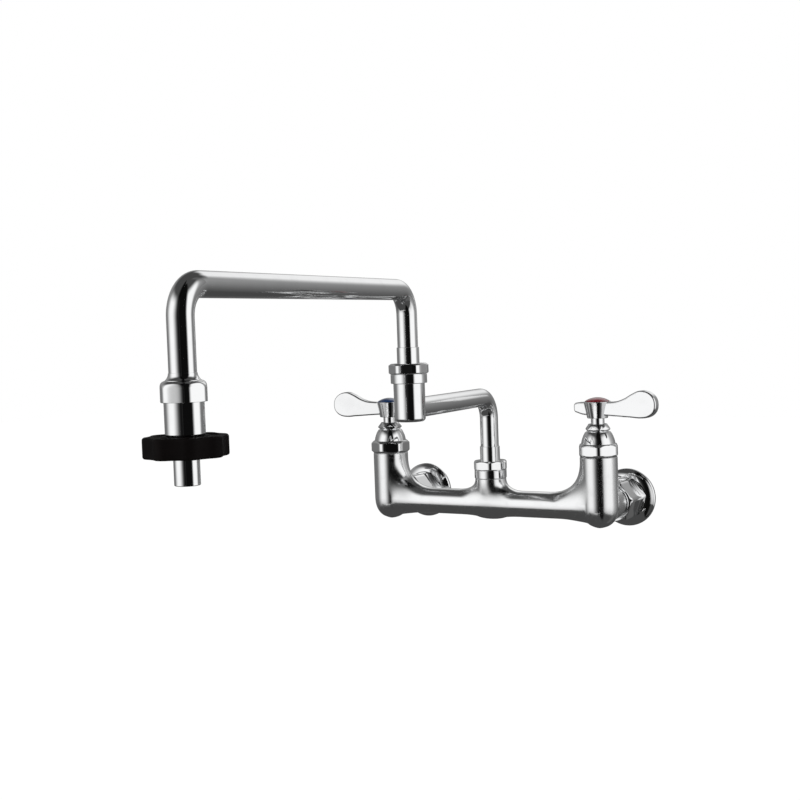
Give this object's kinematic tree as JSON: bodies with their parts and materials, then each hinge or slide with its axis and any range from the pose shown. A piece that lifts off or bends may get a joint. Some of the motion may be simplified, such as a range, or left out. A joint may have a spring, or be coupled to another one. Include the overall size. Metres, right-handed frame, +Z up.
{
  "type": "wall-mounted mixer tap",
  "caption": "Wall-mounted two-lever mixer with quarter-turn valves, a double-jointed swinging spout and a hand-wheel throttle at its outlet.",
  "frame": {"origin": "in the wall plane, midway between the two inlets", "axes": "+Y into the wall, +X towards the hot (red) valve on the right, +Z up; the spout reaches out along -Y"},
  "size_m": [0.3124, 0.5477, 0.2189],
  "materials": {
    "polished_chrome": "polished chrome plate on brass",
    "turned_brass": "turned, unplated",
    "stainless_steel": "plain",
    "black_wheel": "moulded black plastic, satin",
    "red_button": "gloss, dark red",
    "blue_button": "gloss, dark blue",
    "seal_rubber": "black rubber",
    "valve_ceramic": "lapped ceramic",
    "fibre_washer": "pressed fibre"
  },
  "bodies": {
    "body": {"mixer_body": "polished_chrome", "base_swivel_nut": "polished_chrome", "base_thrust_washer": "fibre_washer", "wall_flange_left": "polished_chrome", "coupling_nut_left": "polished_chrome", "coupling_washer_left": "fibre_washer", "seat_gasket_left": "seal_rubber", "fixed_disc_left": "valve_ceramic", "cartridge_body_left": "turned_brass", "cartridge_gasket_left": "fibre_washer", "bonnet_left": "polished_chrome", "packing_ring_left": "fibre_washer", "packing_nut_left": "polished_chrome", "wall_flange_right": "polished_chrome", "coupling_nut_right": "polished_chrome", "coupling_washer_right": "fibre_washer", "seat_gasket_right": "seal_rubber", "fixed_disc_right": "valve_ceramic", "cartridge_body_right": "turned_brass", "cartridge_gasket_right": "fibre_washer", "bonnet_right": "polished_chrome", "packing_ring_right": "fibre_washer", "packing_nut_right": "polished_chrome"},
    "left_lever": {"moving_disc_left": "valve_ceramic", "valve_stem_left": "polished_chrome", "stem_o_rings_left": "seal_rubber", "lever_handle_left": "polished_chrome", "handle_screw_left": "stainless_steel", "index_button_left": "blue_button"},
    "right_lever": {"moving_disc_right": "valve_ceramic", "valve_stem_right": "polished_chrome", "stem_o_rings_right": "seal_rubber", "lever_handle_right": "polished_chrome", "handle_screw_right": "stainless_steel", "index_button_right": "red_button"},
    "lower_arm": {"base_spigot": "polished_chrome", "base_o_rings": "seal_rubber", "base_retaining_ring": "turned_brass", "lower_arm_tube": "polished_chrome", "elbow_cup": "polished_chrome", "elbow_swivel_nut": "polished_chrome", "elbow_thrust_washer": "fibre_washer"},
    "upper_arm": {"elbow_spigot": "polished_chrome", "elbow_o_rings": "seal_rubber", "elbow_retaining_ring": "turned_brass", "upper_arm_tube": "polished_chrome", "outlet_collar": "polished_chrome", "outlet_coupling_nut": "polished_chrome", "outlet_gasket": "seal_rubber", "throttle_body": "polished_chrome", "throttle_fixed_disc": "valve_ceramic", "throttle_circlip": "stainless_steel"},
    "throttle": {"throttle_moving_disc": "valve_ceramic", "throttle_o_ring": "seal_rubber", "outlet_tube": "polished_chrome", "hand_wheel": "black_wheel", "wheel_set_screw": "stainless_steel"}
  },
  "joints": [
    {"name": "right_lever_turn", "type": "hinge", "parent": "body", "child": "right_lever", "pos_m": [0.1016, -0.0678, 0.0754], "axis": [0, 0, 1], "range_deg": [-90, 0]},
    {"name": "left_lever_turn", "type": "hinge", "parent": "body", "child": "left_lever", "pos_m": [-0.1016, -0.0678, 0.0754], "axis": [0, 0, 1], "range_deg": [0, 90]},
    {"name": "lower_arm_swivel", "type": "hinge", "parent": "body", "child": "lower_arm", "pos_m": [0, -0.0678, 0.0224], "axis": [0, 0, 1], "range_deg": [-53, 47]},
    {"name": "upper_arm_swivel", "type": "hinge", "parent": "lower_arm", "child": "upper_arm", "pos_m": [0.00798, -0.21999, 0.1138], "axis": [0, 0, 1], "range_deg": [-127.5, 122.5]},
    {"name": "throttle_turn", "type": "hinge", "parent": "upper_arm", "child": "throttle", "pos_m": [0.03719, -0.52339, 0.1012], "axis": [0, 0, 1], "range_deg": [0, 90]}
  ]
}
